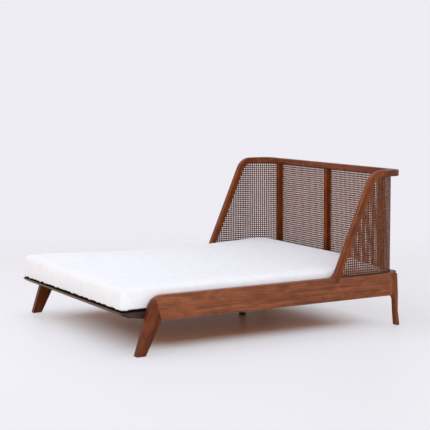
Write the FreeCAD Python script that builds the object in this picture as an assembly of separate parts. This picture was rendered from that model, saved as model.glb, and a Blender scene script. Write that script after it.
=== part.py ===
import FreeCAD, Part
import math
import os

from FreeCAD import Placement, Rotation, Vector

# Driving dimensions in millimetres, angles in degrees
# The bed stands on z = 0, its head is at +Y and its sides are at -X (left) and +X (right)

# Mattress
mattress_width = 1600.0
mattress_length = 2000.0
mattress_border = 134.0
mattress_crown = 14.0
mattress_edge = 14.0
mattress_draw = 4.0
mattress_foot_corner = 25.0
mattress_head_corner = 100.0
crown_steps = ((0.5, 110.0), (0.87, 280.0), (1.0, 500.0))

# Room round the mattress
side_clearance = 12.0
head_clearance = 32.0
foot_lip = 3.0
lift_clearance = 0.4

# Side frame: rail, raked front leg and slender rear leg
frame_thickness = 44.0
ground_clearance = 208.0
rail_height = 155.0
outer_round = 10.0
inner_round = 4.0
leg_setback = 75.0
leg_front_angle = 17.6
leg_foot = 67.0
leg_back_angle = 27.5
leg_corner = 100.0
leg_knee = 12.0
mitre_angle = 17.0
rear_head = 73.0
rear_head_round = 20.0
rear_leg_depth = 30.0
rear_leg_kick = 16.0
rear_leg_waist = 6.0
rear_leg_sweep = 160.0
rear_leg_fillet = 40.0
rear_head_lean = 8.0
headboard_overhang = 31.0
glide_height = 3.0
glide_inset = 6.0

# Headboard
headboard_height = 1053.0
back_frame_depth = 40.0
top_height = 42.0
top_outer_radius = 82.0
top_inner_radius = 150.0
top_round = 6.0
corner_reach = 111.0
arm_joint_depth = 100.0
wing_depth = 529.3
wing_bend = 121.0
arm_length = 70.3
wing_housing = 30.0
post_width = 40.0
post_round = 4.0
lower_corner_wall = 12.0
lower_corner_round = 40.0

# Cane panels, their grooves and splines
cane_thickness = 3.0
cane_inset = 8.5
cane_radius = 184.0
cane_bite = 8.0
cane_cell = 52.0
cane_opening = 27.0
cane_border = 10.0
groove_depth = 10.0
spline_width = 4.0

# Platform
platform_depth = 85.0
deck_thickness = 10.0
deck_side_gap = 12.0
deck_lip = 6.0
deck_foot_corner = 25.0
foot_rail_height = 44.0
foot_rail_depth = 187.0
foot_rail_corner = 25.0
nose_edge = 7.0
nose_round = 2.0
bevel_run = 38.0
bevel_drop = 31.0
bevel_round = 30.0
belly_run = 145.0
slat_count = 13
slat_width = 80.0
slat_thickness = 18.0
slat_end_gap = 6.0
slat_margin = 13.0
cleat_width = 30.0
cleat_height = 35.0
beam_width = 40.0
beam_height = 50.0

# Centre legs and levelling feet
centre_leg_pitch = 705.0
centre_leg_diameter = 38.0
leg_plate_length = 110.0
leg_plate_thickness = 4.0
levelling_diameter = 48.0
levelling_height = 16.0
levelling_stem = 10.0
levelling_stem_length = 44.0
levelling_travel = 12.0
levelling_gap = 2.0
running_clearance = 0.3

# Joinery and hardware
tenon_thickness = 10.0
tenon_width = 24.0
tenon_length = 50.0
rail_tenon_width = 80.0
bolt_diameter = 8.0
bolt_seat = 50.0
bolt_overrun = 6.0
bolt_head_diameter = 13.0
bolt_head_height = 8.0
bolt_access = 15.0
bolt_spacing = 70.0
insert_diameter = 12.0
insert_length = 20.0
bracket_leg = 45.0
bracket_thickness = 4.0
bracket_height = 24.0
bracket_screw_pitch = 18.0
screw_diameter = 4.0
screw_head_diameter = 8.0
screw_head_height = 2.0
screw_bite = 22.0
cleat_screw_count = 7

# Places worked out from the driving dimensions
inner_x = mattress_width / 2 + side_clearance
outer_x = inner_x + frame_thickness
overall_length = foot_lip + mattress_length + head_clearance + back_frame_depth
tip_y = -overall_length / 2
back_y = overall_length / 2
mattress_foot_y = tip_y + foot_lip
mattress_head_y = mattress_foot_y + mattress_length
back_inner_y = back_y - back_frame_depth
rail_top = ground_clearance + rail_height
rail_middle = ground_clearance + rail_height / 2
top_bottom = headboard_height - top_height
top_middle = headboard_height - top_height / 2
deck_top = rail_top - platform_depth
deck_bottom = deck_top - deck_thickness
slat_bottom = deck_bottom - slat_thickness
foot_rail_rear = tip_y + foot_rail_depth
leg_foot_y = tip_y + leg_setback
rear_face_y = back_y - headboard_overhang
rear_joint_y = rear_face_y - rear_head
arm_joint_y = back_y - arm_joint_depth
corner_joint_x = outer_x - corner_reach
cane_x = outer_x - cane_inset
cane_y = back_y - cane_inset
cane_centre_x = cane_x - cane_radius
cane_centre_y = cane_y - cane_radius
groove_outside = cane_thickness / 2
groove_inside = -cane_thickness / 2 - spline_width
lower_inner_radius = cane_radius + groove_inside - lower_corner_wall
post_outer_x = cane_centre_x
post_inner_x = post_outer_x - post_width
post_x = post_outer_x - post_width / 2
centre_leg_foot = levelling_height + levelling_travel + levelling_gap
tall = 3 * headboard_height


def slope(angle):
    return math.tan(math.radians(angle))


def in_plan(u, v):
    return Vector(u, v, 0)


def in_side_view(u, v):
    return Vector(0, u, v)


# A closed face from corner points (u, v, radius), each corner rounded to its radius
def rounded_face(corners, place):
    starts = []
    middles = []
    ends = []
    for index, (u, v, radius) in enumerate(corners):
        point = Vector(u, v, 0)
        before = Vector(*corners[index - 1][:2], 0) - point
        after = Vector(*corners[(index + 1) % len(corners)][:2], 0) - point
        before.normalize()
        after.normalize()
        half = before.getAngle(after) / 2
        reach = radius / math.tan(half)
        bisector = before + after
        if radius > 0:
            bisector.normalize()
        starts.append(point + before * reach)
        middles.append(point + bisector * (radius / math.sin(half) - radius))
        ends.append(point + after * reach)
    edges = []
    for index, (u, v, radius) in enumerate(corners):
        following = starts[(index + 1) % len(corners)]
        if radius > 0:
            trio = [place(p.x, p.y) for p in (starts[index], middles[index], ends[index])]
            edges.append(Part.Arc(*trio).toShape())
        if ends[index].distanceToPoint(following) > 1e-6:
            edges.append(Part.LineSegment(place(ends[index].x, ends[index].y),
                                          place(following.x, following.y)).toShape())
    return Part.Face(Part.Wire(edges))


def box(x_span, y_span, z_span):
    size = [span[1] - span[0] for span in (x_span, y_span, z_span)]
    return Part.makeBox(*size, Vector(x_span[0], y_span[0], z_span[0]))


def centred_box(centre, size):
    return Part.makeBox(*size, centre - Vector(*size) / 2)


def mirrored(shape):
    return shape.mirror(Vector(0, 0, 0), Vector(1, 0, 0))


# A right-hand shape and its left-hand twin
def pair(shape):
    return [mirrored(shape), shape]


# Long edges whose middle lies on the face x = level, but not on the floor plane
def edges_on_side(shape, level, floor):
    chosen = []
    for edge in shape.Edges:
        low = edge.BoundBox.ZMax < floor + 0.01
        flat = abs(edge.BoundBox.XMin - level) < 0.01 and abs(edge.BoundBox.XMax - level) < 0.01
        if flat and not low:
            chosen.append(edge)
    return chosen


# The right side frame in one outline: front leg, rail and rear leg
def side_frame():
    front_top_y = leg_foot_y + rail_top * slope(leg_front_angle)
    foot_front_y = leg_foot_y + glide_height * slope(leg_front_angle)
    foot_back_y = foot_front_y + leg_foot
    rear_front_y = rear_face_y - rear_leg_depth
    half_drop = ground_clearance / 2
    corners = [
        (foot_front_y, glide_height, 0),
        (front_top_y, rail_top, leg_corner),
        (rear_face_y - rear_head_lean, rail_top, rear_head_round),
        (rear_face_y, ground_clearance, rear_leg_sweep),
        (rear_face_y, half_drop, rear_leg_sweep),
        (rear_face_y + rear_leg_kick, glide_height, 0),
        (rear_front_y + rear_leg_kick, glide_height, 0),
        (rear_front_y + rear_leg_waist, half_drop, rear_leg_sweep),
        (rear_front_y, ground_clearance, rear_leg_fillet),
        (knee_y(), ground_clearance, leg_knee),
        (foot_back_y, glide_height, 0),
    ]
    face = rounded_face(corners, in_side_view)
    face.translate(Vector(inner_x, 0, 0))
    solid = face.extrude(Vector(frame_thickness, 0, 0))
    solid = solid.makeFillet(outer_round, edges_on_side(solid, outer_x, glide_height))
    return solid.makeFillet(inner_round, edges_on_side(solid, inner_x, glide_height))


# Where the back of the front leg meets the underside of the rail
def knee_y():
    foot_back_y = leg_foot_y + glide_height * slope(leg_front_angle) + leg_foot
    return foot_back_y + (ground_clearance - glide_height) * slope(leg_back_angle)


# Everything in front of the mitre between front leg and rail
def mitre_front():
    reach = overall_length
    half_space = box((0, tall), (-reach, 0), (-reach, reach))
    half_space.rotate(Vector(0, 0, 0), Vector(1, 0, 0), mitre_angle)
    half_space.translate(Vector(0, knee_y(), ground_clearance))
    return half_space


def mitre_tenon():
    tenon = centred_box(Vector(0, 0, 0), (tenon_thickness, tenon_length, rail_tenon_width))
    tenon.rotate(Vector(0, 0, 0), Vector(1, 0, 0), mitre_angle)
    middle_y = knee_y() - rail_height / 2 * slope(mitre_angle)
    tenon.translate(Vector((inner_x + outer_x) / 2, middle_y, rail_middle))
    return tenon


def rear_leg_tenon():
    middle = Vector((inner_x + outer_x) / 2, rear_joint_y, rail_middle)
    return centred_box(middle, (tenon_thickness, tenon_length, rail_tenon_width))


# The wing post is straight up to a bend, then runs back as a level arm.
# Its middle line starts at the rail top and leans so that it touches the bend; offset d is towards the rear.
bend_middle_radius = wing_bend - top_height / 2
bend_centre_y = arm_joint_y - arm_length
bend_centre_z = top_middle - bend_middle_radius
wing_y = back_y - wing_depth
wing_run = bend_centre_y - wing_y
wing_rise = bend_centre_z - rail_top
wing_lean = math.acos(bend_middle_radius / math.hypot(wing_run, wing_rise)) - math.atan2(wing_rise, wing_run)


def bend_point(d, angle):
    radius = bend_middle_radius - d
    return in_side_view(bend_centre_y - radius * math.cos(angle), bend_centre_z + radius * math.sin(angle))


# The edges of the wing line at offset d, from the height low up to the end of the bend
def wing_line(d, low):
    along = (low - rail_top + d * math.sin(wing_lean)) / math.cos(wing_lean)
    start = in_side_view(wing_y + d * math.cos(wing_lean) + along * math.sin(wing_lean), low)
    quarter = math.pi / 2
    bend = Part.Arc(bend_point(d, wing_lean), bend_point(d, (wing_lean + quarter) / 2), bend_point(d, quarter))
    return [Part.LineSegment(start, bend_point(d, wing_lean)).toShape(), bend.toShape()]


def closed_side_face(edges, points):
    chain = [edges[-1].lastVertex().Point] + points + [edges[0].firstVertex().Point]
    lines = [Part.LineSegment(a, b).toShape() for a, b in zip(chain, chain[1:])]
    return Part.Face(Part.Wire(edges + lines))


# All the space behind and below the wing line at offset d, above the height low
def wing_region(d, low):
    far = back_y + back_frame_depth
    edges = wing_line(d, low)
    face = closed_side_face(edges, [in_side_view(far, top_middle - d), in_side_view(far, low)])
    return face.extrude(Vector(tall, 0, 0))


# The plan of the headboard's top, between its outer and its inner outline
def top_ring():
    front = -tall
    outer = rounded_face([(-outer_x, front, 0), (-outer_x, back_y, top_outer_radius),
                          (outer_x, back_y, top_outer_radius), (outer_x, front, 0)], in_plan)
    inner = rounded_face([(-inner_x, front, 0), (-inner_x, back_inner_y, top_inner_radius),
                          (inner_x, back_inner_y, top_inner_radius), (inner_x, front, 0)], in_plan)
    return outer.extrude(Vector(0, 0, tall)).cut(inner.extrude(Vector(0, 0, tall)))


# Edges that run along a piece, away from the planes where it meets its neighbours
def long_edges(shape, is_end):
    return [edge for edge in shape.Edges if not is_end(edge.BoundBox)]


def wing_post():
    half = top_height / 2
    foot = rail_top - wing_housing
    far = in_side_view(arm_joint_y, headboard_height)
    near = in_side_view(arm_joint_y, top_bottom)
    front = wing_line(-half, foot)
    rear = wing_line(half, foot)
    lines = [Part.LineSegment(front[-1].lastVertex().Point, far).toShape(),
             Part.LineSegment(far, near).toShape(),
             Part.LineSegment(near, rear[-1].lastVertex().Point).toShape(),
             Part.LineSegment(rear[0].firstVertex().Point, front[0].firstVertex().Point).toShape()]
    face = Part.Face(Part.Wire(Part.sortEdges(front + rear + lines)[0]))
    solid = face.extrude(Vector(tall, 0, 0)).common(top_ring())

    def is_end(bounds):
        at_foot = bounds.ZMax < foot + 0.01
        at_joint = bounds.YMin > arm_joint_y - 0.01
        across = bounds.XLength > frame_thickness - 1
        return at_foot or at_joint or across

    return solid.makeFillet(top_round, long_edges(solid, is_end))


# The top corner blocks and the back rail are cut from one rounded ring
def top_pieces():
    ring = top_ring().common(box((-tall, tall), (arm_joint_y, tall), (top_bottom, headboard_height)))

    def is_end(bounds):
        at_joint = bounds.YMax < arm_joint_y + 0.01
        upright = bounds.ZLength > top_height - 1
        return at_joint or upright

    ring = ring.makeFillet(top_round, long_edges(ring, is_end))
    corner = ring.common(box((corner_joint_x, tall), (-tall, tall), (0, tall)))
    rail = ring.common(box((-corner_joint_x, corner_joint_x), (-tall, tall), (0, tall)))
    return corner, rail


def back_post(x):
    span = (x - post_width / 2, x + post_width / 2)
    post = box(span, (back_inner_y, back_y), (rail_top, top_bottom))
    upright = [edge for edge in post.Edges if edge.BoundBox.ZLength > top_height]
    return post.makeFillet(post_round, upright)


def post_tenons(x):
    place_y = back_inner_y + tenon_thickness
    size = (tenon_width, tenon_thickness, tenon_length)
    return [centred_box(Vector(x, place_y, z), size) for z in (rail_top, top_bottom)]


def lower_back_rail():
    rail = box((-corner_joint_x, corner_joint_x), (back_inner_y, back_y), (ground_clearance, rail_top))
    lengthwise = [edge for edge in rail.Edges if edge.BoundBox.XLength > 1]
    return rail.makeFillet(inner_round, lengthwise)


# A solid corner between the lower back rail and the rear leg, hollowed to the cane's curve
def lower_corner():
    corners = [(corner_joint_x, rear_joint_y, 0), (inner_x, rear_joint_y, 0),
               (inner_x, back_y, lower_corner_round), (corner_joint_x, back_y, 0)]
    block = rounded_face(corners, in_plan).extrude(Vector(0, 0, rail_height))
    block.translate(Vector(0, 0, ground_clearance))
    hollow = Part.makeCylinder(lower_inner_radius, tall, Vector(cane_centre_x, cane_centre_y, 0))
    return block.cut(hollow)


def lower_corner_tenon():
    place_y = back_inner_y + back_frame_depth / 2
    return centred_box(Vector(corner_joint_x, place_y, rail_middle),
                       (tenon_length, tenon_thickness, rail_tenon_width))


def arm_tenon():
    middle = Vector((inner_x + outer_x) / 2, arm_joint_y, headboard_height - top_height / 3)
    return centred_box(middle, (tenon_width, tenon_length, tenon_thickness))


def top_rail_tenon():
    middle = Vector(corner_joint_x, back_inner_y + tenon_thickness, headboard_height - top_height / 3)
    return centred_box(middle, (tenon_length, tenon_width, tenon_thickness))


# A wall that follows the cane in plan, from offset h1 to offset h2, outwards positive
def cane_wall(h1, h2, z_span):
    faces = []
    for h in (h1, h2):
        corners = [(-cane_x - h, 0, 0), (-cane_x - h, cane_y + h, cane_radius + h),
                   (cane_x + h, cane_y + h, cane_radius + h), (cane_x + h, 0, 0)]
        faces.append(rounded_face(corners, in_plan))
    solids = [face.extrude(Vector(0, 0, z_span[1] - z_span[0])) for face in faces]
    wall = solids[1].cut(solids[0])
    wall.translate(Vector(0, 0, z_span[0]))
    return wall


# The right wing's cane, groove or spline: a wall trimmed to the wing and to the outer back post
def wing_trim(wall, bite, end_x):
    region = wing_region(top_height / 2 - bite, rail_top - bite)
    return wall.common(region).common(box((end_x, tall), (-tall, tall), (0, tall)))


# The middles of the openings that fit between two edges of a panel
def opening_places(low, high):
    count = int((high - low) // cane_cell)
    first = (low + high - (count - 1) * cane_cell) / 2
    return [first + index * cane_cell for index in range(count)]


# The webbing is too fine to cut, so its panels have a coarse grid of openings with the same open share
def cane_hole(x, z):
    return centred_box(Vector(x, cane_y, z), (cane_opening, cane_opening, cane_opening))


# A hole through the wing's wall, at the distance along from the outer back post
def wing_hole(along, z):
    hole = cane_hole(cane_centre_x, z)
    turn = min(along / cane_radius, math.pi / 2)
    hole.rotate(Vector(cane_centre_x, cane_centre_y, 0), Vector(0, 0, 1), -math.degrees(turn))
    hole.translate(Vector(0, turn * cane_radius - along, 0))
    return hole


# Holes that the wing post's slant cuts to less than half are left out
def wing_cane():
    wall = cane_wall(-cane_thickness / 2, cane_thickness / 2, (0, headboard_height))
    panel = wing_trim(wall, cane_bite, post_outer_x - cane_bite)
    reach = cane_radius * math.pi / 2 + cane_centre_y - wing_y
    field = wing_region(top_height / 2 + cane_border, rail_top + cane_border)
    holes = []
    for along in opening_places(0, reach):
        for z in opening_places(rail_top, top_bottom):
            hole = wing_hole(along, z)
            inside = hole.common(field)
            if inside.Volume > hole.Volume / 2:
                holes.append(inside)
    return panel.cut(Part.makeCompound(holes))


def wing_groove():
    wall = cane_wall(groove_inside, groove_outside, (0, headboard_height))
    return wing_trim(wall, groove_depth, post_outer_x - groove_depth)


# The spline runs all round the panel, so it is a strip with the open field cut out
def wing_spline():
    wall = cane_wall(groove_inside, -cane_thickness / 2, (0, headboard_height))
    strip = wing_trim(wall, cane_bite, post_outer_x - cane_bite)
    return strip.cut(wing_region(top_height / 2, rail_top).common(
        box((post_outer_x, tall), (-tall, tall), (0, tall))))


def back_field(bite, h1, h2):
    return box((post_width / 2 - bite, post_inner_x + bite), (cane_y + h1, cane_y + h2),
               (rail_top - bite, top_bottom + bite))


def back_cane():
    panel = back_field(cane_bite, -cane_thickness / 2, cane_thickness / 2)
    holes = [cane_hole(x, z)
             for x in opening_places(post_width / 2, post_inner_x)
             for z in opening_places(rail_top, top_bottom)]
    return panel.cut(Part.makeCompound(holes))


def back_groove():
    return back_field(groove_depth, groove_inside, groove_outside)


def back_spline():
    strip = back_field(cane_bite, groove_inside, -cane_thickness / 2)
    return strip.cut(back_field(0, groove_inside, -cane_thickness / 2))


# A thin front edge, a bevelled and bellied underside and two rounded corners in plan
def foot_rail():
    top = deck_bottom
    bottom = top - foot_rail_height
    corners = [(tip_y, top, nose_round), (tip_y, top - nose_edge, nose_round),
               (tip_y + bevel_run, top - bevel_drop, bevel_round),
               (tip_y + belly_run, bottom, bevel_round), (foot_rail_rear, bottom, 0),
               (foot_rail_rear, top, 0)]
    board = rounded_face(corners, in_side_view).extrude(Vector(2 * inner_x, 0, 0))
    board.translate(Vector(-inner_x, 0, 0))
    plan = rounded_face([(-inner_x, tip_y, foot_rail_corner), (inner_x, tip_y, foot_rail_corner),
                         (inner_x, foot_rail_rear, 0), (-inner_x, foot_rail_rear, 0)], in_plan)
    return board.common(plan.extrude(Vector(0, 0, tall)))


def deck_liner():
    half = inner_x - deck_side_gap
    corners = [(-half, tip_y + deck_lip, deck_foot_corner), (half, tip_y + deck_lip, deck_foot_corner),
               (half, mattress_head_y, mattress_head_corner), (-half, mattress_head_y, mattress_head_corner)]
    liner = rounded_face(corners, in_plan).extrude(Vector(0, 0, deck_thickness))
    liner.translate(Vector(0, 0, deck_bottom))
    return liner


# One level of the mattress: round corners and sides that draw in between them
def mattress_level(z, inset):
    half = mattress_width / 2 - inset
    foot = mattress_foot_y + inset
    head = mattress_head_y - inset
    corners = [Vector(half, foot, z), Vector(half, head, z), Vector(-half, head, z), Vector(-half, foot, z)]
    radii = [mattress_foot_corner, mattress_head_corner, mattress_head_corner, mattress_foot_corner]
    edges = []
    for index, (corner, radius) in enumerate(zip(corners, radii)):
        after = (index + 1) % 4
        before = (corners[index - 1] - corner).normalize()
        onward = (corners[after] - corner).normalize()
        start = corner + before * radius
        finish = corner + onward * radius
        middle = corner + (before + onward) * (radius * (1 - math.sqrt(0.5)))
        edges.append(Part.Arc(start, middle, finish).toShape())
        following = corners[after] - onward * radii[after]
        drawn_in = (finish + following) / 2 + before * mattress_draw
        edges.append(Part.Arc(finish, drawn_in, following).toShape())
    return Part.Wire(edges)


def mattress():
    bottom = deck_top + lift_clearance
    border = bottom + mattress_border
    soft = mattress_edge / 4
    levels = [(bottom, mattress_edge), (bottom + soft, soft), (bottom + mattress_edge, 0),
              (bottom + mattress_border / 2, mattress_draw),
              (border - mattress_edge, 0), (border - soft, soft), (border, mattress_edge)]
    for share, inset in crown_steps:
        levels.append((border + mattress_crown * share, inset))
    wires = [mattress_level(z, inset) for z, inset in levels]
    return Part.makeLoft(wires, True, True)


def slat_places():
    first = foot_rail_rear + bracket_leg + slat_margin + slat_width / 2
    last = rear_joint_y - slat_margin - slat_width / 2
    step = (last - first) / (slat_count - 1)
    return [first + step * index for index in range(slat_count)]


def slat(y):
    half = inner_x - slat_end_gap
    plank = box((-half, half), (y - slat_width / 2, y + slat_width / 2), (slat_bottom, deck_bottom))
    lengthwise = [edge for edge in plank.Edges if edge.BoundBox.XLength > 1]
    return plank.makeFillet(inner_round, lengthwise)


def cleat():
    return box((inner_x - cleat_width, inner_x),
               (foot_rail_rear + bracket_leg, rear_joint_y),
               (slat_bottom - cleat_height, slat_bottom))


def centre_beam():
    return box((-beam_width / 2, beam_width / 2), (foot_rail_rear, back_inner_y),
               (slat_bottom - beam_height, slat_bottom))


def cylinder(diameter, start, direction, length):
    return Part.makeCylinder(diameter / 2, length, start, direction)


# A screw whose head lies just under the point, driven along the direction
def screw(point, direction, length):
    head = cylinder(screw_head_diameter, point, direction, screw_head_height)
    return head.fuse(cylinder(screw_diameter, point, direction, length)).removeSplitter()


def slat_screws(y):
    x = inner_x - cleat_width / 2
    length = slat_thickness + screw_bite
    return [screw(Vector(side * x, y, deck_bottom), Vector(0, 0, -1), length) for side in (-1, 1)]


# The right cleat's screws lie midway between slats, spread along its length
def cleat_screws():
    places = slat_places()
    start = Vector(inner_x - cleat_width, 0, slat_bottom - cleat_height / 2)
    screws = []
    for index in range(cleat_screw_count):
        gap = round(index * (slat_count - 2) / (cleat_screw_count - 1))
        middle = (places[gap] + places[gap + 1]) / 2
        screws.append(screw(start + Vector(0, middle, 0), Vector(1, 0, 0), cleat_width + screw_bite))
    return screws


# An angle bracket in the corner of the planes x = 0 and y = 0, with two screws in each leg
def bracket_with_screws(x, y, turn):
    z = slat_bottom - bracket_height
    flat = box((0, bracket_leg), (0, bracket_thickness), (z, z + bracket_height))
    upright = box((0, bracket_thickness), (0, bracket_leg), (z, z + bracket_height))
    plate = flat.fuse(upright).removeSplitter()
    screws = []
    for index in (1, 2):
        reach = bracket_screw_pitch * index
        middle = z + bracket_height / 2
        length = bracket_thickness + screw_bite
        screws.append(screw(Vector(reach, bracket_thickness, middle), Vector(0, -1, 0), length))
        screws.append(screw(Vector(bracket_thickness, reach, middle), Vector(-1, 0, 0), length))
    place = Placement(Vector(x, y, 0), Rotation(Vector(0, 0, 1), turn))
    for shape in [plate] + screws:
        shape.Placement = place
    return plate, screws


def corner_bolt(z):
    start = inner_x - bolt_seat
    y = rear_face_y - rear_leg_depth / 2
    axis = Vector(1, 0, 0)
    head = cylinder(bolt_head_diameter, Vector(start - bolt_head_height, y, z), axis, bolt_head_height)
    length = bolt_seat + insert_length + bolt_overrun
    bolt = head.fuse(cylinder(bolt_diameter, Vector(start, y, z), axis, length))
    access = cylinder(bolt_access, Vector(corner_joint_x, y, z), axis, start - corner_joint_x)
    insert = cylinder(insert_diameter, Vector(inner_x, y, z), axis, insert_length)
    return bolt.removeSplitter(), access, insert


def centre_leg(y):
    top = slat_bottom - beam_height
    plate = box((-beam_width / 2, beam_width / 2), (y - leg_plate_length / 2, y + leg_plate_length / 2),
                (top - leg_plate_thickness, top))
    tube = cylinder(centre_leg_diameter, Vector(0, y, centre_leg_foot), Vector(0, 0, 1),
                    top - leg_plate_thickness - centre_leg_foot)
    bore_top = levelling_height + levelling_stem_length + levelling_travel + 2 * running_clearance
    bore = cylinder(levelling_stem + 2 * running_clearance, Vector(0, y, 0), Vector(0, 0, 1), bore_top)
    return plate.fuse(tube).removeSplitter().cut(bore)


def leg_plate_screws(y):
    z = slat_bottom - beam_height - leg_plate_thickness
    reach = (leg_plate_length + centre_leg_diameter) / 4
    length = leg_plate_thickness + screw_bite
    return [screw(Vector(0, y + side * reach, z), Vector(0, 0, 1), length) for side in (-1, 1)]


def levelling_foot(y):
    up = Vector(0, 0, 1)
    pad = cylinder(levelling_diameter, Vector(0, y, 0), up, levelling_height)
    stem = cylinder(levelling_stem, Vector(0, y, levelling_height), up, levelling_stem_length)
    return pad.fuse(stem).removeSplitter()


def foot_glides():
    x_span = (inner_x + glide_inset, outer_x - glide_inset)
    front_y = leg_foot_y + glide_height * slope(leg_front_angle)
    rear_y = rear_face_y + rear_leg_kick
    spans = [(front_y + glide_inset, front_y + leg_foot - glide_inset),
             (rear_y - rear_leg_depth + glide_inset, rear_y - glide_inset)]
    glides = []
    for span in spans:
        glides += pair(box(x_span, span, (0, glide_height)))
    return glides


def cut_all(shape, tools):
    for tool in tools:
        shape = shape.cut(tool)
    return shape


nodes = {}
sides = ("left", "right")

# Side frames, split at the mitre and at the rear joint, mortised and grooved
frame = side_frame()
behind = box((0, tall), (rear_joint_y, tall), (0, tall))
mitre_joint = mitre_tenon()
rear_joint = rear_leg_tenon()
groove = wing_groove()
bolts = [corner_bolt(rail_middle + side * bolt_spacing / 2) for side in (-1, 1)]
post = wing_post()
front_leg = frame.common(mitre_front()).cut(mitre_joint)
rail = cut_all(frame, [mitre_front(), behind, mitre_joint, rear_joint, groove, post])
rear_leg = cut_all(frame.common(behind), [rear_joint, groove])

# Headboard top, back posts and lower back rail
arm_joint = arm_tenon()
rail_joint = top_rail_tenon()
lower_joint = lower_corner_tenon()
grooves = pair(groove) + pair(back_groove())
top_corner, top_rail = top_pieces()
post = cut_all(post, [groove, arm_joint])
top_corner = cut_all(top_corner, [groove, arm_joint, rail_joint])
posts = {"left": -post_x, "centre": 0.0, "right": post_x}
upright_tenons = [tenon for x in posts.values() for tenon in post_tenons(x)]
top_rail = cut_all(top_rail, grooves + pair(rail_joint) + upright_tenons)
back_rail = cut_all(lower_back_rail(), grooves + pair(lower_joint) + upright_tenons)
corner_block = cut_all(lower_corner(), [groove, lower_joint])

# Corner bolts, their inserts and access holes
for bolt, access, insert in bolts:
    corner_block = cut_all(corner_block, [bolt, access])
    rear_leg = cut_all(rear_leg, [bolt, insert])

# Platform, with the screws of the cleats, slats and brackets
cleat_fixings = cleat_screws()
slat_fixings = [screw_pair for y in slat_places() for screw_pair in slat_screws(y)]
half_beam = beam_width / 2
bracket_places = [(inner_x, foot_rail_rear, 90), (-inner_x, foot_rail_rear, 0),
                  (half_beam, foot_rail_rear, 0), (-half_beam, foot_rail_rear, 90),
                  (half_beam, back_inner_y, 270), (-half_beam, back_inner_y, 180)]
brackets = [bracket_with_screws(*place) for place in bracket_places]
bracket_fixings = [item for plate, screws in brackets for item in screws]
leg_places = {"rear": back_inner_y - centre_leg_pitch, "front": back_inner_y - 2 * centre_leg_pitch}
plate_fixings = [item for y in leg_places.values() for item in leg_plate_screws(y)]
rail = cut_all(rail, cleat_fixings)

for side, shape in zip(sides, pair(rail)):
    nodes["side_rail_" + side] = cut_all(shape, bracket_fixings)
for side, shape in zip(sides, pair(front_leg)):
    nodes["front_leg_" + side] = cut_all(shape, bracket_fixings)
for name, shape in (("rear_leg", rear_leg), ("wing_post", post), ("top_corner", top_corner),
                    ("lower_corner", corner_block), ("wing_cane", wing_cane()), ("back_cane", back_cane())):
    for side, twin in zip(sides, pair(shape)):
        nodes[name + "_" + side] = twin
for side, shape in zip(sides, pair(cut_all(cleat(), cleat_fixings))):
    nodes["slat_cleat_" + side] = cut_all(shape, slat_fixings)
for name, x in posts.items():
    nodes["back_post_" + name] = cut_all(back_post(x), grooves + upright_tenons)
nodes["top_back_rail"] = top_rail
nodes["lower_back_rail"] = cut_all(back_rail, bracket_fixings)
nodes["foot_rail"] = cut_all(foot_rail(), bracket_fixings)
nodes["centre_beam"] = cut_all(centre_beam(), bracket_fixings + plate_fixings)
for number, y in enumerate(slat_places(), 1):
    nodes["slat_%02d" % number] = cut_all(slat(y), slat_screws(y))
nodes["deck_liner"] = deck_liner()
nodes["mattress"] = mattress()
for name, y in leg_places.items():
    nodes["centre_leg_" + name] = cut_all(centre_leg(y), leg_plate_screws(y))
    nodes["levelling_foot_" + name] = levelling_foot(y)

# Groups of like pieces
groups = {
    "cane_splines": pair(wing_spline()) + pair(back_spline()),
    "foot_glides": foot_glides(),
    "frame_tenons": pair(mitre_joint) + pair(rear_joint),
    "headboard_tenons": pair(arm_joint) + pair(rail_joint) + pair(lower_joint) + upright_tenons,
    "corner_bolts": [twin for bolt in bolts for twin in pair(bolt[0])],
    "corner_inserts": [twin for bolt in bolts for twin in pair(bolt[2].cut(bolt[0]))],
    "angle_brackets": [cut_all(plate, screws) for plate, screws in brackets],
    "bracket_screws": bracket_fixings,
    "slat_screws": slat_fixings,
    "cleat_screws": [twin for item in cleat_fixings for twin in pair(item)],
    "leg_plate_screws": plate_fixings,
}
for name, solids in groups.items():
    nodes[name] = Part.makeCompound(solids)

os.makedirs("parts", exist_ok=True)
for name, shape in nodes.items():
    solids = shape.Solids
    if len(solids) == 1:
        shape = solids[0]
    print(name, len(solids), shape.isValid(), round(shape.Volume / 1000, 1))
    shape.exportStep("parts/" + name + ".step")
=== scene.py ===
import math

import bpy
from mathutils import Matrix, Vector


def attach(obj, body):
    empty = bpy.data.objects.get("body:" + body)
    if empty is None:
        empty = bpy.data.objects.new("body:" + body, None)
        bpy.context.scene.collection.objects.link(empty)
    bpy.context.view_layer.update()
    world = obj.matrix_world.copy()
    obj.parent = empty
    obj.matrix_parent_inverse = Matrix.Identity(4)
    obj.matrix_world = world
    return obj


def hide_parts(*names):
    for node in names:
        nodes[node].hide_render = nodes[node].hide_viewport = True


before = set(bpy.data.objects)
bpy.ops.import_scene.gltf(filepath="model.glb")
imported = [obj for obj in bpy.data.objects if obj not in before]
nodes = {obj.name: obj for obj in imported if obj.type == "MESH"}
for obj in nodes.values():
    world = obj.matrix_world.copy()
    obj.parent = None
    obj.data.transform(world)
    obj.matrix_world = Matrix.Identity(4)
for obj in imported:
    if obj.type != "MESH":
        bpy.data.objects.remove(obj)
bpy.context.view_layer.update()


# Bed frame
# Side rails, legs, wing posts, back posts and back rails of solid mahogany.
# Each is sawn along its grain, rounded over, stained red-brown and finished
# with a satin lacquer. They meet in mitres and butt joints on loose tenons.

# One sRGB hex colour as linear light
def linear(code):
    parts = [int(code[i:i + 2], 16) / 255 for i in (1, 3, 5)]
    return [p / 12.92 if p < 0.0405 else ((p + 0.055) / 1.055) ** 2.4 for p in parts] + [1.0]


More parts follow.
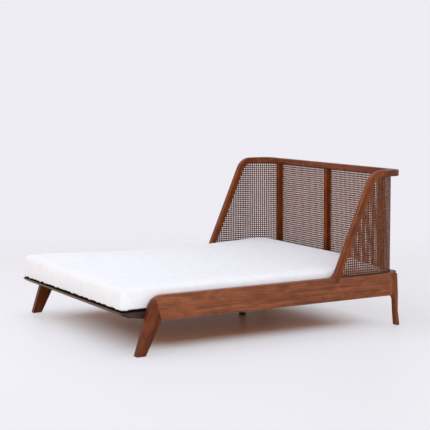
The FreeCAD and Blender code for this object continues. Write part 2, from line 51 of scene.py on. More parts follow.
# One shader node with its settings, its socket values and its links
def add(tree, kind, sockets, stops=(), **settings):
    node = tree.nodes.new("ShaderNode" + kind)
    for name, value in settings.items():
        setattr(node, name, value)
    for name, value in sockets.items():
        if isinstance(value, bpy.types.NodeSocket):
            tree.links.new(value, node.inputs[name])
        else:
            node.inputs[name].default_value = value
    for number, (place, code) in enumerate(stops):
        points = node.color_ramp.elements
        point = points[number] if number < 2 else points.new(place)
        point.position, point.color = place, linear(code)
    return node


def new_material(name):
    material = bpy.data.materials.new(name)
    material.use_nodes = True
    return material, material.node_tree, material.node_tree.nodes["Principled BSDF"]


def paint(material, *names):
    for name in names:
        nodes[name].material_slots[0].material = material


# Stained mahogany shows growth bands about 16 mm wide, finer streaks along the grain and
# cloudy patches about 70 by 160 mm. Its pores are short fine dents, drawn wider than they
# are so that they show. Turn is the rotation that lays local Y along the grain, and shine
# is the lacquer's specular level.
def stained_mahogany(name, turn, codes, shine=0.2):
    material, tree, shader = new_material(name)
    place = add(tree, "TexCoord", {}).outputs["Object"]
    layers = []

    # Bands, streaks, pores and patches: size across and along the grain, detail, waviness
    for across, along, detail, waviness in ((0.016, 0.45, 3.0, 0.6), (0.0035, 0.16, 2.0, 0.0),
                                            (0.0012, 0.02, 1.0, 0.0), (0.07, 0.16, 3.0, 1.2)):
        sized = add(tree, "Mapping", {"Vector": place, "Rotation": turn, "Scale": (across, along, across)},
                    vector_type="TEXTURE")
        noise = add(tree, "TexNoise", {"Vector": sized.outputs[0], "Scale": 1.0, "Detail": detail,
                                       "Distortion": waviness})
        layers.append(noise.outputs["Fac"])
    band, streak, pore, patch = layers
    figure = add(tree, "Mix", {0: 0.45, 2: band, 3: streak})
    tone = add(tree, "Math", {0: patch, 1: 0.5, 2: figure.outputs[0]}, operation="MULTIPLY_ADD")
    colour = add(tree, "ValToRGB", {"Fac": tone.outputs[0]},
                 stops=[(0.58, codes[0]), (0.91, codes[2]), (0.75, codes[1])])
    tree.links.new(colour.outputs["Color"], shader.inputs["Base Color"])
    gloss = add(tree, "MapRange", {"Value": streak, "From Min": 0.3, "From Max": 0.7,
                                   "To Min": 0.36, "To Max": 0.5})
    tree.links.new(gloss.outputs["Result"], shader.inputs["Roughness"])
    bump = add(tree, "Bump", {"Height": pore, "Strength": 0.25, "Distance": 0.0004})
    tree.links.new(bump.outputs["Normal"], shader.inputs["Normal"])
    shader.inputs["Specular IOR Level"].default_value = shine
    return material


rail_stain = ("#653118", "#814423", "#985731")
deep_stain = ("#4E2209", "#662E0E", "#7A3B16")
post_stain = ("#56280B", "#703510", "#86451A")
rake = math.radians(23.7)
lengthwise, crosswise = (0, 0, 0), (0, 0, math.pi / 2)
upright, raked = (math.pi / 2, 0, 0), (math.pi / 2 - rake, 0, 0)
paint(stained_mahogany("mahogany_rail", lengthwise, rail_stain, shine=0.3), "side_rail_left",
      "side_rail_right")
paint(stained_mahogany("mahogany_crosswise", crosswise, deep_stain), "top_back_rail", "lower_back_rail",
      "top_corner_left", "top_corner_right", "lower_corner_left", "lower_corner_right")
paint(stained_mahogany("mahogany_rear_leg", upright, rail_stain), "rear_leg_left", "rear_leg_right")
paint(stained_mahogany("mahogany_back_post", upright, deep_stain, shine=0.05), "back_post_left",
      "back_post_centre", "back_post_right")
paint(stained_mahogany("mahogany_front_leg", raked, deep_stain), "front_leg_left", "front_leg_right")
paint(stained_mahogany("mahogany_wing_post", raked, post_stain), "wing_post_left", "wing_post_right")


# Foot rail
# One board with a thin front edge, stained darker than the frame so that it
# reads as a shadow line under the mattress, with a painted highlight along that edge.
# Angle brackets hold it to the rails.
edge_highlight_from, edge_highlight_to = -1.0345, -1.0370


# The frame's mahogany with a stain that is near black, and a painted highlight in mid brown along the front
# edge
def mahogany_with_edge_highlight():
    dark_stain = ("#261911", "#36261B", "#473326")
    material = stained_mahogany("mahogany_dark_stain", crosswise, dark_stain)
    tree = material.node_tree
    shader = tree.nodes["Principled BSDF"]
    stain = shader.inputs["Base Color"].links[0].from_socket
    place = add(tree, "SeparateXYZ", {0: add(tree, "TexCoord", {}).outputs["Object"]})
    # The front edge is painted paler: a painted highlight where it catches the light
    edge_highlight = add(tree, "MapRange", {"Value": place.outputs["Y"], "From Min": edge_highlight_from,
                                    "From Max": edge_highlight_to})
    colour = add(tree, "Mix", {0: edge_highlight.outputs["Result"], 6: stain, 7: linear("#6B4F38")},
                 data_type="RGBA")
    tree.links.new(colour.outputs[2], shader.inputs["Base Color"])
    return material


dark_mahogany = mahogany_with_edge_highlight()
paint(dark_mahogany, "foot_rail")


# Slats and hidden joinery
# Thirteen slats, two cleats and a centre beam of the same wood, planed and oiled
# but not lacquered, screwed down with steel screws. The loose tenons match them.
oiled = ("#5E3019", "#7A4226", "#8C5232")
slat_mahogany = stained_mahogany("oiled_mahogany_crosswise", crosswise, oiled)
cleat_mahogany = stained_mahogany("oiled_mahogany_lengthwise", lengthwise, oiled)
paint(slat_mahogany, "headboard_tenons", *["slat_%02d" % number for number in range(1, 14)])
paint(cleat_mahogany, "slat_cleat_left", "slat_cleat_right", "centre_beam", "frame_tenons")


# Deck liner
# A hardboard panel that covers the slats and keeps the mattress dry. Its top and
# edges are faced with black felt, the dark band under the mattress at the foot; the
# felt's black is also painted shade for the gap under the mattress's hem. Underneath
# it is bare and brown.

# Felt has no gloss. Its fibres are drawn as clumps 3 mm wide, so that they show
def felted_hardboard():
    material, tree, shader = new_material("felted_hardboard")
    coordinates = add(tree, "TexCoord", {})
    clump_width = 0.003
    fibres = add(tree, "TexNoise", {"Vector": coordinates.outputs["Object"], "Scale": 1 / clump_width,
                                    "Detail": 4.0})
    # Near black: the felt's own colour, and also painted shade for the gap under the mattress's hem
    felt_and_gap_shade = add(tree, "ValToRGB", {"Fac": fibres.outputs["Fac"]},
               stops=[(0.3, "#0E0805"), (0.7, "#1B110B")])
    board = add(tree, "ValToRGB", {"Fac": fibres.outputs["Fac"]},
                stops=[(0.3, "#6A3E24"), (0.7, "#835233")])
    facing = add(tree, "SeparateXYZ", {0: coordinates.outputs["Normal"]})
    below = add(tree, "Math", {0: facing.outputs["Z"], 1: -0.5}, operation="LESS_THAN")
    colour = add(tree, "Mix", {0: below.outputs[0], 6: felt_and_gap_shade.outputs["Color"], 7: board.outputs["Color"]},
                 data_type="RGBA")
    tree.links.new(colour.outputs[2], shader.inputs["Base Color"])
    bump = add(tree, "Bump", {"Height": fibres.outputs["Fac"], "Strength": 0.4, "Distance": 0.0008})
    tree.links.new(bump.outputs["Normal"], shader.inputs["Normal"])
    shader.inputs["Roughness"].default_value = 0.95
    shader.inputs["Specular IOR Level"].default_value = 0.05
    return material


paint(felted_hardboard(), "deck_liner")


# Cane panels
# Square webbing of split rattan, woven over one and under one from flat strips
# 8 mm wide. Each sheet is pressed into the grooves of the frame and held by a
# spline; the two outer sheets are bent round the corners of the headboard.
pitch = 0.0156
strip_width = 0.0080
strip_thickness = 0.0012
lift = strip_thickness / 2
cane_low, cane_high = 0.355, 1.019
lowest_strip = 0.3665
cane_y = 1.029
cane_x = 0.8475
cane_bend = 0.184
cane_start = 0.6555
cells_along, cells_up = 21, 22


def deselect():
    bpy.ops.object.select_all(action="DESELECT")


def activate(piece):
    deselect()
    piece.select_set(True)
    bpy.context.view_layer.objects.active = piece


# Opens a piece in edit mode with the vertices, edges or faces picked out by a rule
def edit(piece, kind="VERT", rule=lambda item: True):
    activate(piece)
    bpy.ops.object.mode_set(mode="EDIT")
    bpy.ops.mesh.select_mode(type=kind)
    bpy.ops.mesh.select_all(action="DESELECT")
    bpy.ops.object.mode_set(mode="OBJECT")
    mesh = piece.data
    for item in {"VERT": mesh.vertices, "EDGE": mesh.edges, "FACE": mesh.polygons}[kind]:
        item.select = rule(item)
    bpy.ops.object.mode_set(mode="EDIT")


def leave():
    bpy.ops.object.mode_set(mode="OBJECT")


# Opens a piece with the edges picked out that run along X for more than a given length
def edit_lengthwise(piece, least):
    ends = piece.data.vertices
    edit(piece, "EDGE", lambda edge: abs(ends[edge.vertices[0]].co.x - ends[edge.vertices[1]].co.x) > least)


def use_modifier(piece, kind, **settings):
    modifier = piece.modifiers.new(kind.lower(), kind)
    for name, value in settings.items():
        setattr(modifier, name, value)
    activate(piece)
    bpy.ops.object.modifier_apply(modifier=modifier.name)


def copy_piece(piece, name):
    activate(piece)
    bpy.ops.object.duplicate(linked=False)
    twin = bpy.context.object
    twin.name = twin.data.name = name
    return twin


# A short length of strip: it lies over one crossing and under the next.
deselect()
bpy.ops.mesh.primitive_cube_add(size=1, location=(0.75 * pitch, 0, lift),
                                scale=(2 * pitch, strip_width, strip_thickness))
webbing = bpy.context.object
webbing.name = webbing.data.name = "cane_webbing"
bpy.ops.object.transform_apply(location=True, rotation=True, scale=True)
edit_lengthwise(webbing, pitch)
bpy.ops.mesh.subdivide(number_cuts=3)
leave()
edit(webbing, "VERT", lambda vertex: 0.6 * pitch < vertex.co.x < 1.4 * pitch)
bpy.ops.transform.translate(value=(0, 0, -2 * lift))
leave()
edit(webbing, "FACE", lambda face: abs(face.normal.x) > 0.9)
bpy.ops.mesh.delete(type="ONLY_FACE")
leave()

# Its neighbour along the cloth, then the two strips that cross them
edit(webbing)
bpy.ops.mesh.duplicate_move(TRANSFORM_OT_translate={"value": (pitch, pitch, 0)})
bpy.ops.mesh.select_all(action="SELECT")
bpy.ops.mesh.duplicate()
bpy.ops.transform.rotate(value=math.pi / 2, orient_axis="Z", center_override=(0, 0, 0))
bpy.ops.transform.translate(value=(pitch, 0, 0))
leave()
for step, count in (((2 * pitch, 0, 0), cells_along + 3), ((0, 2 * pitch, 0), cells_up + 3)):
    use_modifier(webbing, "ARRAY", use_relative_offset=False, use_constant_offset=True,
                 constant_offset_displace=step, count=count, use_merge_vertices=True,
                 merge_threshold=0.0001)
edit(webbing)
bpy.ops.transform.translate(value=(-2 * pitch, -2 * pitch, 0))
bpy.ops.transform.rotate(value=-math.pi / 2, orient_axis="X", center_override=(0, 0, 0))
leave()


# Cuts away what lies beyond a plane
def trim(point, outward):
    bpy.ops.mesh.select_all(action="SELECT")
    bpy.ops.mesh.bisect(plane_co=point, plane_no=outward, use_fill=True, clear_outer=True)


# Split rattan keeps its satin skin. It is stained brown to match the frame, and
# takes the stain in patches about 22 mm wide.
def split_rattan():
    material, tree, shader = new_material("split_rattan")
    place = add(tree, "TexCoord", {}).outputs["Object"]
    patch_width = 0.022
    stain = add(tree, "TexNoise", {"Vector": place, "Scale": 1 / patch_width, "Detail": 3.0,
                                   "Roughness": 0.6})
    colour = add(tree, "ValToRGB", {"Fac": stain.outputs["Fac"]},
                 stops=[(0.3, "#552C17"), (0.7, "#7A472A")])
    tree.links.new(colour.outputs["Color"], shader.inputs["Base Color"])
    shader.inputs["Roughness"].default_value = 0.45
    shader.inputs["Specular IOR Level"].default_value = 0.2
    return material


rattan = split_rattan()
paint(rattan, "cane_splines")
panels = []

# The two flat panels between the back posts
inner_edge, outer_edge = 0.012, 0.6315
for side, from_x, to_x in (("left", -outer_edge, -inner_edge), ("right", inner_edge, outer_edge)):
    panel = copy_piece(webbing, "back_cane_webbing_" + side)
    edit(panel)
    bpy.ops.transform.translate(value=(from_x - pitch / 2, cane_y, lowest_strip - pitch))
    trim((from_x, 0, 0), (-1, 0, 0))
    trim((to_x, 0, 0), (1, 0, 0))
    trim((0, 0, cane_low), (0, 0, -1))
    trim((0, 0, cane_high), (0, 0, 1))
    leave()
    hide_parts("back_cane_" + side)
    panels.append(panel)

# The outer panel: trimmed flat to the wing post's slant and bend, then wrapped round
# the corner. Along its lower edge a thin dark bead covers the groove in the rail; its
# dark stain is painted shade, standing in for the shadow line along the groove.
flat_bend_end = cane_x - cane_bend - cane_start + cane_bend * math.pi / 2
turn_x, turn_y = cane_x - cane_bend, cane_y - cane_bend
bend_y, bend_z, bend_inside = 0.8672, 0.932, 0.087
strip_offset = -0.1


# Planes that touch the inside of the wing post, from its slant to the end of its bend
def trim_to_post():
    for angle in (rake, 0.7, 1.0, 1.3):
        across, up = math.cos(angle), math.sin(angle)
        along = flat_bend_end + turn_y - bend_y + bend_inside * across
        trim((along, 0, bend_z + bend_inside * up), (across, 0, up))


wing = copy_piece(webbing, "wing_cane_webbing_right")
edit(wing)
bpy.ops.transform.translate(value=(strip_offset * pitch, 0, lowest_strip - pitch))
trim((0, 0, 0), (-1, 0, 0))
trim((0, 0, cane_low), (0, 0, -1))
trim((0, 0, cane_high), (0, 0, 1))
trim_to_post()
leave()
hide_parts("wing_cane_right")

# A thin dark bead along the cane's lower edge, whose dark stain is painted shade for the shadow line in the
# groove
shade_bead_length, shade_bead_depth, shade_bead_height = 0.7, 0.003, 0.008
shade_bead_place = (shade_bead_length / 2, strip_thickness + shade_bead_depth / 2, 0.367)
deselect()
bpy.ops.mesh.primitive_cube_add(size=1, location=shade_bead_place,
                                scale=(shade_bead_length, shade_bead_depth, shade_bead_height))
shade_bead = bpy.context.object
shade_bead.name = shade_bead.data.name = "wing_cane_bead_right"
bpy.ops.object.transform_apply(location=True, rotation=True, scale=True)
edit_lengthwise(shade_bead, 0.1)
bpy.ops.mesh.bevel(offset=0.001, segments=2, affect="EDGES")
leave()
edit_lengthwise(shade_bead, 0.1)
bpy.ops.mesh.subdivide(number_cuts=69)
trim_to_post()
leave()

deselect()
bpy.ops.curve.primitive_bezier_curve_add()
path = bpy.context.object
path.data.resolution_u = 48
path.data.twist_mode = "Z_UP"
points = path.data.splines[0].bezier_points
points.add(2)
quarter_handle = 0.5523
reach = quarter_handle * cane_bend
run = [((cane_start, cane_y), (cane_start - 0.01, cane_y), (cane_start + 0.002, cane_y)),
       ((turn_x, cane_y), (turn_x - 0.002, cane_y), (turn_x + reach, cane_y)),
       ((cane_x, turn_y), (cane_x, turn_y + reach), (cane_x, turn_y - 0.1)),
       ((cane_x, 0.45), (cane_x, 0.55), (cane_x, 0.35))]
for point, places in zip(points, run):
    point.handle_left_type = point.handle_right_type = "FREE"
    point.co, point.handle_left, point.handle_right = [(x, y, 0) for x, y in places]
use_modifier(wing, "CURVE", object=path, deform_axis="POS_X")
use_modifier(shade_bead, "CURVE", object=path, deform_axis="POS_X")
bpy.data.objects.remove(path)


# A piece on the left that mirrors one on the right
def mirrored(piece):
    twin = copy_piece(piece, piece.name.replace("right", "left"))
    edit(twin)
    bpy.ops.transform.resize(value=(-1, 1, 1), center_override=(0, 0, 0))
    bpy.ops.mesh.normals_make_consistent(inside=False)
    leave()
    return twin


wing_twin = mirrored(wing)
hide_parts("wing_cane_left")
panels += [wing, wing_twin]
for strip in (shade_bead, mirrored(shade_bead)):
    strip.data.materials.append(dark_mahogany)
    activate(strip)
    bpy.ops.object.shade_smooth_by_angle(angle=math.radians(40))
    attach(strip, "frame")

for panel in panels:
    panel.data.materials.append(rattan)
    activate(panel)
    bpy.ops.object.shade_smooth_by_angle(angle=math.radians(30))
    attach(panel, "frame")
bpy.data.objects.remove(webbing)


# Coves
# A small hollow-cut block of the frame's wood glued in front of each wing post,
# which turns the post's slant into the top of the side rail.
cove_x, cove_width = 0.834, 0.039
cove_foot_y, cove_foot_z = 0.4852, 0.3628
cove_length = 0.029
cove_height = cove_length * math.cos(rake)
deselect()
bpy.ops.mesh.primitive_cube_add(size=1, location=(cove_x, cove_foot_y - cove_length / 2,
                                                  cove_foot_z + cove_height / 2),
                                scale=(cove_width, cove_length, cove_height))
cove = bpy.context.object
cove.name = cove.data.name = "wing_post_cove_right"
bpy.ops.object.transform_apply(location=True, rotation=True, scale=True)
edit(cove, "VERT", lambda vertex: vertex.co.z > cove_foot_z + cove_height / 2)
bpy.ops.transform.translate(value=(0, cove_length * math.sin(rake), 0))
leave()
corners = cove.data.vertices
edit(cove, "EDGE", lambda edge: all(corners[i].co.z > cove_foot_z + cove_height / 2 and
                                    corners[i].co.y < cove_foot_y for i in edge.vertices))
bpy.ops.mesh.bevel(offset_type="PERCENT", offset_pct=98, segments=10, profile=0.086, affect="EDGES")
leave()
for block in (cove, mirrored(cove)):
    block.data.materials.append(nodes["wing_post_right"].material_slots[0].material)
    activate(block)
    bpy.ops.object.shade_smooth_by_angle(angle=math.radians(30))
    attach(block, "frame")


# Mattress
# A foam mattress in a white cotton cover that is folded round the corners. It lies
# loose on the deck liner between the rails, drawn 1 mm above it.
half_width, foot_y, head_y = 0.795, -1.0325, 0.958
low, high = 0.2795, 0.412
left_foot_round, right_foot_round, head_round, top_round = 0.012, 0.04, 0.1, 0.03
mesh_step = 0.012
deselect()
bpy.ops.mesh.primitive_cube_add(size=1, location=(0, (foot_y + head_y) / 2, (low + high) / 2),
                                scale=(2 * half_width, head_y - foot_y, high - low))
mattress = bpy.context.object
mattress.name = mattress.data.name = "mattress_in_cover"
bpy.ops.object.transform_apply(location=True, rotation=True, scale=True)


# Rounds the edges whose two ends a rule picks out
def round_edges(piece, rule, width, steps):
    places = piece.data.vertices
    edit(piece, "EDGE", lambda edge: rule(*[places[i].co for i in edge.vertices]))
    bpy.ops.mesh.bevel(offset=width, segments=steps, affect="EDGES")
    leave()


middle = (low + high) / 2
round_edges(mattress, lambda a, b: abs(a.z - b.z) > 0.05 and a.y < 0 and a.x < 0, left_foot_round, 4)
round_edges(mattress, lambda a, b: abs(a.z - b.z) > 0.05 and a.y < 0 and a.x > 0, right_foot_round, 6)
round_edges(mattress, lambda a, b: abs(a.z - b.z) > 0.05 and a.y > 0.5, head_round, 8)
round_edges(mattress, lambda a, b: a.z > middle and b.z > middle, top_round, 4)
use_modifier(mattress, "REMESH", mode="VOXEL", voxel_size=mesh_step)


# A smooth step from 0 to 1
def ease(share):
    share = min(1.0, max(0.0, share))
    return share * share * (3 - 2 * share)


# The soft top: a crown in the middle, the left foot corner puffed up, the left side low
# halfway along, and the head raised apart from its right corner, which is low
crown_rise, corner_puff, left_sag = 0.012, 0.026, 0.009
left_head_rise, head_rise, right_head_drop = 0.013, 0.016, 0.046
for vertex in mattress.data.vertices:
    x, y, z = vertex.co
    top = ease((z - middle) / (high - 0.01 - middle))
    along = (y - foot_y) / (head_y - foot_y)
    left = ease((-0.1 - x) / 0.6)
    crown = crown_rise * (1 - (x / half_width) ** 4) * (1 - (2 * along - 1) ** 6)
    puff = corner_puff * math.exp(-((y + 0.95) / 0.44) ** 2) * ease((-0.28 - x) / 0.24)
    rise = left_head_rise * ease((y - 0.07) / 0.9) * left
    head = (head_rise - right_head_drop * ease((x - 0.15) / 0.7)) * ease((y - 0.5) / 0.45)
    vertex.co.z += top * (crown + puff + rise - left_sag * left + head)


# Cotton is matt and white, with soft creases about 60 mm apart. Its weave is drawn
# at 4 mm, coarser than it is, so that it shows.
def white_cotton():
    material, tree, shader = new_material("white_cotton")
    place = add(tree, "TexCoord", {}).outputs["Object"]
    crease_width, thread_width = 0.06, 0.004
    creases = add(tree, "TexNoise", {"Vector": place, "Scale": 1 / crease_width, "Detail": 3.0,
                                     "Distortion": 0.5})
    weave = add(tree, "TexNoise", {"Vector": place, "Scale": 1 / thread_width, "Detail": 1.0})
    height = add(tree, "Mix", {0: 0.1, 2: creases.outputs["Fac"], 3: weave.outputs["Fac"]})
    bump = add(tree, "Bump", {"Height": height.outputs[0], "Strength": 0.3, "Distance": 0.004})
    tree.links.new(bump.outputs["Normal"], shader.inputs["Normal"])
    # The colour follows the creases and is a little greyer in their hollows: painted shade
    colour = add(tree, "ValToRGB", {"Fac": creases.outputs["Fac"]},
                 stops=[(0.3, "#F1F1F2"), (0.7, "#F7F7F7")])
    tree.links.new(colour.outputs["Color"], shader.inputs["Base Color"])
    shader.inputs["Roughness"].default_value = 0.9
    shader.inputs["Sheen Weight"].default_value = 0.1
    return material


# The filling pushes the cover outwards until it is tight, by about 6 mm.
rest = mattress.vertex_groups.new(name="rests_on_deck")
lowest = [vertex.index for vertex in mattress.data.vertices if vertex.co.z < low + 0.004]
rest.add(lowest, 1.0, "REPLACE")
cloth = mattress.modifiers.new("cloth", "CLOTH")
cloth.settings.use_pressure = True
cloth.settings.uniform_pressure_force = 0.1
cloth.settings.effector_weights.gravity = 0.0
cloth.settings.vertex_group_mass = rest.name
cloth.settings.quality = 4
for number in range(1, 21):
    bpy.context.scene.frame_set(number)
activate(mattress)
bpy.ops.object.modifier_apply(modifier=cloth.name)
bpy.context.scene.frame_set(1)
mattress.data.materials.clear()
mattress.data.materials.append(white_cotton())


# The mean of sines with the given lengths, between -1 and 1
def wave(place, *lengths):
    return sum(math.sin(2 * math.pi * place / length + 40 * length) for length in lengths) / len(lengths)


# At the foot the hem hangs in front of the liner in short uneven scallops. It is lowest
# at the left and at the right corner, and rests on the liner where it lies behind its edge.
liner_edge, liner_top = -1.0315, 0.2785
hem_top = low + 0.045
hem_drop, left_drop, scallop_drop, corner_drop = 0.003, 0.005, 0.006, 0.007
hem = [vertex for vertex in mattress.data.vertices
       if vertex.co.z < hem_top and vertex.co.y < foot_y + 0.05 and vertex.normal.z > -0.8]
for vertex in hem:
    x, y, z = vertex.co
    drawn = hem_drop + left_drop * ease(-x / 0.8) + scallop_drop * wave(x, 0.093, 0.067, 0.141)
    corner = corner_drop * math.exp(-((x - 0.79) / 0.04) ** 2)
    hung = z - (drawn + corner) * ease((hem_top - z) / 0.04)
    vertex.co.z = hung if y < liner_edge else max(hung, liner_top)

# A slanted tuck in the cover on each side, where it is folded round the foot corner:
# a ridge 4.5 mm high with a hollow 3 mm deep beside it
tuck_x, tuck_end = 0.77, -0.88
tuck_y, tuck_z = -0.988, 0.381
tuck_top, tuck_bottom = 0.395, 0.27
across_y, across_z = 0.852, 0.524
ridge_height, ridge_width = 0.0045, 0.006
hollow_depth, hollow_width, hollow_offset = 0.003, 0.008, 0.013
edit(mattress, "FACE", lambda face: abs(face.center.x) > tuck_x and face.center.y < tuck_end)
bpy.ops.mesh.subdivide(number_cuts=2)
leave()
for vertex in mattress.data.vertices:
    x, y, z = vertex.co
    if abs(x) > tuck_x and y < tuck_end:
        across = (y - tuck_y) * across_y + (z - tuck_z) * across_z
        fade = ease((tuck_top - z) / 0.04) * ease((z - tuck_bottom) / 0.02)
        fold = ridge_height * math.exp(-(across / ridge_width) ** 2)
        fold -= hollow_depth * math.exp(-((across - hollow_offset) / hollow_width) ** 2)
        vertex.co.x += math.copysign(fade, x) * fold
activate(mattress)
bpy.ops.object.shade_smooth()
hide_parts("mattress")
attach(mattress, "mattress")


# Centre legs and feet
# Two steel tubes on plates under the centre beam, powder coated a brownish black, each
# on a moulded levelling foot. Plastic glides are pressed under the four corner legs.

# Powder coat is satin, with a fine grit that is drawn coarser than it is, so that it shows
def black_powder_coat():
    material, tree, shader = new_material("black_powder_coat")
    place = add(tree, "TexCoord", {}).outputs["Object"]
    grit_width = 0.0015
    grit = add(tree, "TexNoise", {"Vector": place, "Scale": 1 / grit_width, "Detail": 2.0})
    colour = add(tree, "ValToRGB", {"Fac": grit.outputs["Fac"]},
                 stops=[(0.3, "#1A0F0A"), (0.7, "#261812")])
    tree.links.new(colour.outputs["Color"], shader.inputs["Base Color"])
    bump = add(tree, "Bump", {"Height": grit.outputs["Fac"], "Strength": 0.3, "Distance": 0.0003})
    tree.links.new(bump.outputs["Normal"], shader.inputs["Normal"])
    shader.inputs["Roughness"].default_value = 0.5
    return material


# Nylon from a mould is dull, with a faint even grain, drawn coarser than it is too
def moulded_nylon():
    material, tree, shader = new_material("moulded_nylon")
    place = add(tree, "TexCoord", {}).outputs["Object"]
    grain_width = 0.002
    grain = add(tree, "TexNoise", {"Vector": place, "Scale": 1 / grain_width, "Detail": 2.0})
    colour = add(tree, "ValToRGB", {"Fac": grain.outputs["Fac"]},
                 stops=[(0.3, "#1A0F0A"), (0.7, "#261812")])
    tree.links.new(colour.outputs["Color"], shader.inputs["Base Color"])
    shader.inputs["Roughness"].default_value = 0.6
    return material


paint(black_powder_coat(), "centre_leg_front", "centre_leg_rear")
paint(moulded_nylon(), "levelling_foot_front", "levelling_foot_rear", "foot_glides")


# Bolts, brackets and screws
# Zinc plated steel: bolts with threaded inserts in the rear corners, folded angle
# brackets and countersunk screws, all of them out of sight once the bed stands.

# Zinc plate is a grey metal whose gloss changes over spangles about 4 mm wide
def zinc_plate():
    material, tree, shader = new_material("zinc_plated_steel")
    place = add(tree, "TexCoord", {}).outputs["Object"]
    spangle_width = 0.004
    spangle = add(tree, "TexNoise", {"Vector": place, "Scale": 1 / spangle_width, "Detail": 2.0})
    gloss = add(tree, "MapRange", {"Value": spangle.outputs["Fac"], "To Min": 0.28, "To Max": 0.45})
    tree.links.new(gloss.outputs["Result"], shader.inputs["Roughness"])
    colour = add(tree, "ValToRGB", {"Fac": spangle.outputs["Fac"]},
                 stops=[(0.3, "#A8A9AB"), (0.7, "#BFC0C1")])
    tree.links.new(colour.outputs["Color"], shader.inputs["Base Color"])
    shader.inputs["Metallic"].default_value = 1.0
    return material


paint(zinc_plate(), "corner_bolts", "corner_inserts", "angle_brackets", "bracket_screws", "slat_screws",
      "cleat_screws", "leg_plate_screws")


# Studio
# A pale seamless floor that fades into the backdrop, a wide soft lamp overhead, a smaller
# one on the camera's side of the bed, and a fill that is warmer from the camera's left.

# Under the bed the floor is tinted brown and none of the backdrop shows through it:
# painted brown shade and reflection of the bed's underside. Elsewhere some of the
# backdrop shows through it to the camera
outer_x, inner_x = 0.85, 0.5
outer_y, inner_y = 1.1, 0.55
backdrop_share = 0.6
fade_start, fade_end = 1.9, 5.5
deselect()
bpy.ops.mesh.primitive_circle_add(vertices=96, radius=30, fill_type="NGON")
floor = bpy.context.object
floor.name = "studio_floor"
material, tree, shader = new_material("pale_studio_floor")
place = add(tree, "TexCoord", {}).outputs["Object"]
far = add(tree, "VectorMath", {0: place}, operation="LENGTH")
unsigned = add(tree, "VectorMath", {0: place}, operation="ABSOLUTE")
spread = add(tree, "SeparateXYZ", {0: unsigned.outputs[0]})
across = add(tree, "MapRange", {"Value": spread.outputs["X"], "From Min": outer_x, "From Max": inner_x},
             interpolation_type="SMOOTHSTEP")
along = add(tree, "MapRange", {"Value": spread.outputs["Y"], "From Min": outer_y, "From Max": inner_y},
            interpolation_type="SMOOTHSTEP")
painted_shade_under_bed = add(tree, "Math", {0: across.outputs[0], 1: along.outputs[0]}, operation="MULTIPLY")
# Painted brown shade and reflection of the bed's underside on the floor under the bed
tone = add(tree, "Mix", {0: painted_shade_under_bed.outputs[0], 6: linear("#FCFCFC"), 7: linear("#FFBA86")},
           data_type="RGBA")
tree.links.new(tone.outputs[2], shader.inputs["Base Color"])
ray = add(tree, "LightPath", {})
lifted = add(tree, "MapRange", {"Value": painted_shade_under_bed.outputs[0], "To Min": backdrop_share, "To Max": 0.0})
near = add(tree, "Math", {0: ray.outputs["Is Camera Ray"], 1: lifted.outputs[0]}, operation="MULTIPLY")
fade = add(tree, "MapRange", {"Value": far.outputs["Value"], "From Min": fade_start, "From Max": fade_end,
                              "To Min": near.outputs[0]}, interpolation_type="SMOOTHSTEP")
shader.inputs["Roughness"].default_value = 0.4
shader.inputs["Specular IOR Level"].default_value = 0.2
clear = add(tree, "BsdfTransparent", {})
mixed = add(tree, "MixShader", {"Fac": fade.outputs["Result"], 1: shader.outputs[0], 2: clear.outputs[0]})
tree.links.new(mixed.outputs[0], tree.nodes["Material Output"].inputs["Surface"])
floor.data.materials.append(material)

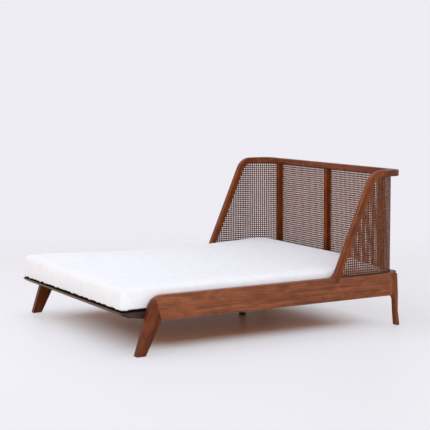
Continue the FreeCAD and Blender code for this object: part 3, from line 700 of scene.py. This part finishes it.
# The world lights the bed with the fill. The camera and reflections see the plain backdrop
world = bpy.data.worlds.new("studio")
bpy.context.scene.world = world
world.use_nodes = True
tree = world.node_tree
tree.nodes.clear()
ray = add(tree, "LightPath", {})
seen = add(tree, "Math", {0: ray.outputs["Is Camera Ray"], 1: ray.outputs["Is Glossy Ray"]},
           operation="MAXIMUM")
seen = add(tree, "Math", {0: seen.outputs[0], 1: ray.outputs["Is Transmission Ray"]},
           operation="MAXIMUM")
direction = add(tree, "TexCoord", {})
height = add(tree, "SeparateXYZ", {0: direction.outputs["Generated"]})
level = add(tree, "MapRange", {"Value": height.outputs["Z"], "From Max": 0.5, "To Min": 1.3,
                               "To Max": 0.6})
camera_right = (0.7, 0.7, 0)
sideways = add(tree, "VectorMath", {0: direction.outputs["Generated"], 1: camera_right},
               operation="DOT_PRODUCT")
tint = add(tree, "MapRange", {"Value": sideways.outputs["Value"], "From Min": -0.8, "From Max": 0.8})
tone = add(tree, "Mix", {0: tint.outputs["Result"], 6: linear("#F1E2D3"), 7: linear("#F8FAFF")},
           data_type="RGBA")
fill = add(tree, "Background", {"Color": tone.outputs[2], "Strength": level.outputs["Result"]})
backdrop = add(tree, "Background", {"Color": linear("#EEEDF3"), "Strength": 1.0})
both = add(tree, "MixShader", {"Fac": seen.outputs[0], 1: fill.outputs[0], 2: backdrop.outputs[0]})
add(tree, "OutputWorld", {"Surface": both.outputs[0]})

# Square lamps, out of the camera's sight: place, aim, width, watts and colour
for place, aim, size, energy, colour in (
        ((-0.5, -1.3, 4.1), (0, 0, 0.3), 4.0, 100.0, "#DDE7FF"),
        ((5.7, -2.8, 2.0), (0, -0.2, 0.1), 2.5, 80.0, "#EAF0FF")):
    deselect()
    bpy.ops.object.light_add(type="AREA", location=place)
    lamp = bpy.context.object
    lamp.rotation_euler = (Vector(aim) - Vector(place)).to_track_quat("-Z", "Y").to_euler()
    lamp.data.shape = "SQUARE"
    lamp.data.size = size
    lamp.data.energy = energy
    lamp.data.color = linear(colour)[:3]
    lamp.visible_camera = False

# The camera, fitted to the straight edges of the bed in the photograph
sensor_width, image_width, focal_length = 36, 430, 1236.69
camera_place = (7.3919, -4.1610, 1.6419)
turn, tilt, roll = math.radians(60.207), math.radians(90 - 6.156), math.radians(-0.171)
camera_data = bpy.data.cameras.new("camera")
camera_data.lens = sensor_width * focal_length / image_width
camera = bpy.data.objects.new("camera", camera_data)
bpy.context.scene.collection.objects.link(camera)
camera.matrix_world = (Matrix.Translation(camera_place) @ Matrix.Rotation(turn, 4, "Z")
                       @ Matrix.Rotation(tilt, 4, "X") @ Matrix.Rotation(roll, 4, "Z"))
bpy.context.scene.camera = camera
bpy.context.scene.view_settings.view_transform = "Standard"
